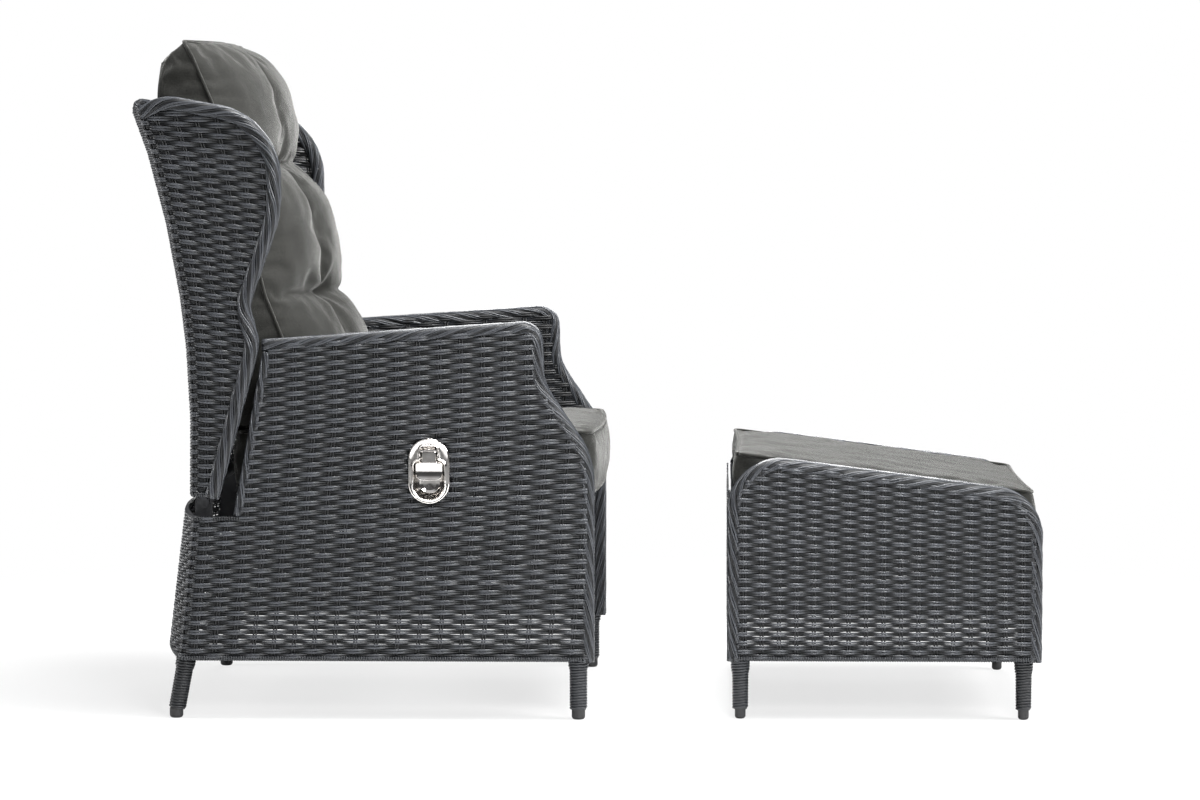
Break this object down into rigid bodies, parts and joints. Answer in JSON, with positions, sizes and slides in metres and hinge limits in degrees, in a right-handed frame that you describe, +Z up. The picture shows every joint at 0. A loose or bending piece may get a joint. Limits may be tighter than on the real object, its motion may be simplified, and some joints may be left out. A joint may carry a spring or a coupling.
{
  "type": "reclining armchair with footstool",
  "caption": "Woven high-back reclining armchair with wings, release handle, gas spring and cushions, with a sloping woven footstool.",
  "frame": {"origin": "middle of the box round chair and footstool, on the floor", "axes": "+X from the chair to the footstool, +Y to the sitter's left, +Z up"},
  "size_m": [1.5074, 0.7086, 1.104],
  "materials": {
    "rattan": "satin extruded strand, woven",
    "cushion_fabric": "plain-weave outdoor fabric, piped",
    "glide": "moulded",
    "handle_chrome": "polished",
    "bush": "moulded nylon",
    "cable_sheath": "extruded sheath",
    "spring_body": "black enamel",
    "bright_steel": "zinc plated",
    "bracket_steel": "powder coated",
    "frame_tube": "powder coated anthracite"
  },
  "bodies": {
    "base": {"arm_braid_left": "rattan", "arm_braid_right": "rattan", "arm_post_tubes": "frame_tube", "arm_rail_tubes": "frame_tube", "arm_rear_braids": "rattan", "chair_glides": "glide", "cross_rails": "frame_tube", "front_leg_tubes": "frame_tube", "handle_pin": "bright_steel", "handle_plate": "handle_chrome", "handle_spring": "bright_steel", "hinge_bolts": "bright_steel", "hinge_plates": "bracket_steel", "hinge_stubs": "frame_tube", "inner_side_weave_left": "rattan", "inner_side_weave_right": "rattan", "leg_wraps": "rattan", "lower_rail_tubes": "frame_tube", "outer_side_weave_left": "rattan", "outer_side_weave_right": "rattan", "rear_leg_tubes": "frame_tube", "rear_skirt_weave": "rattan", "release_cable": "cable_sheath", "seat_deck": "rattan", "seat_front_weave": "rattan", "seat_side_rails": "frame_tube", "spring_front_bracket": "bracket_steel", "spring_front_pin": "bright_steel"},
    "backrest": {"back_uprights": "frame_tube", "back_top_tube": "frame_tube", "back_bottom_tube": "frame_tube", "back_hinge_lugs": "bracket_steel", "hinge_bushes": "bush", "back_weave": "rattan", "wing_weave_right": "rattan", "wing_weave_left": "rattan", "wing_braid_right": "rattan", "wing_braid_left": "rattan", "back_top_braid": "rattan", "spring_rear_arm": "bracket_steel", "spring_rear_pin": "bright_steel", "back_cushion": "cushion_fabric"},
    "spring_rod": {"gas_spring_rod": "bright_steel", "release_head": "spring_body"},
    "spring_tube": {"gas_spring_tube": "spring_body"},
    "paddle": {"handle_paddle": "handle_chrome"},
    "seat_cushion": {"seat_cushion": "cushion_fabric"},
    "footstool": {"stool_braid_left": "rattan", "stool_braid_right": "rattan", "stool_cross_rails": "frame_tube", "stool_deck": "rattan", "stool_end_weave_front": "rattan", "stool_end_weave_rear": "rattan", "stool_glides": "glide", "stool_leg_tubes": "frame_tube", "stool_leg_wraps": "rattan", "stool_side_rails": "frame_tube", "stool_side_weave_left": "rattan", "stool_side_weave_right": "rattan"},
    "stool_cushion": {"stool_cushion": "cushion_fabric"}
  },
  "joints": [
    {"name": "recline", "type": "hinge", "parent": "base", "child": "backrest", "pos_m": [-0.61, 0, 0.35], "axis": [0, -1, 0], "range_deg": [0, 33]},
    {"name": "spring_swing", "type": "hinge", "parent": "base", "child": "spring_rod", "pos_m": [-0.27, 0, 0.29], "axis": [0, 1, 0], "range_deg": [0, 1.81]},
    {"name": "spring_stroke", "type": "slide", "parent": "spring_rod", "child": "spring_tube", "axis": [1, 0, 0], "range_m": [0, 0.03263]},
    {"name": "handle_pull", "type": "hinge", "parent": "base", "child": "paddle", "pos_m": [-0.238, -0.335, 0.438], "axis": [-1, 0, 0], "range_deg": [0, 32], "stiffness_Nm_per_rad": 0.05, "springref_deg": -17.19},
    {"name": "seat_cushion_draw", "type": "slide", "parent": "base", "child": "seat_cushion", "axis": [1, 0, 0], "range_m": [0, 0.15]},
    {"name": "footstool_place", "type": "slide", "parent": "base", "child": "footstool", "axis": [1, 0, 0], "range_m": [-0.12, 0.3]},
    {"name": "stool_cushion_lift", "type": "slide", "parent": "footstool", "child": "stool_cushion", "axis": [0, 0, 1], "range_m": [0, 0.12]}
  ],
  "couplings": [
    {"joint": "spring_swing", "follows": "recline", "ratio": 0.054668},
    {"joint": "spring_stroke", "follows": "recline", "m_per_rad": 0.056473}
  ]
}
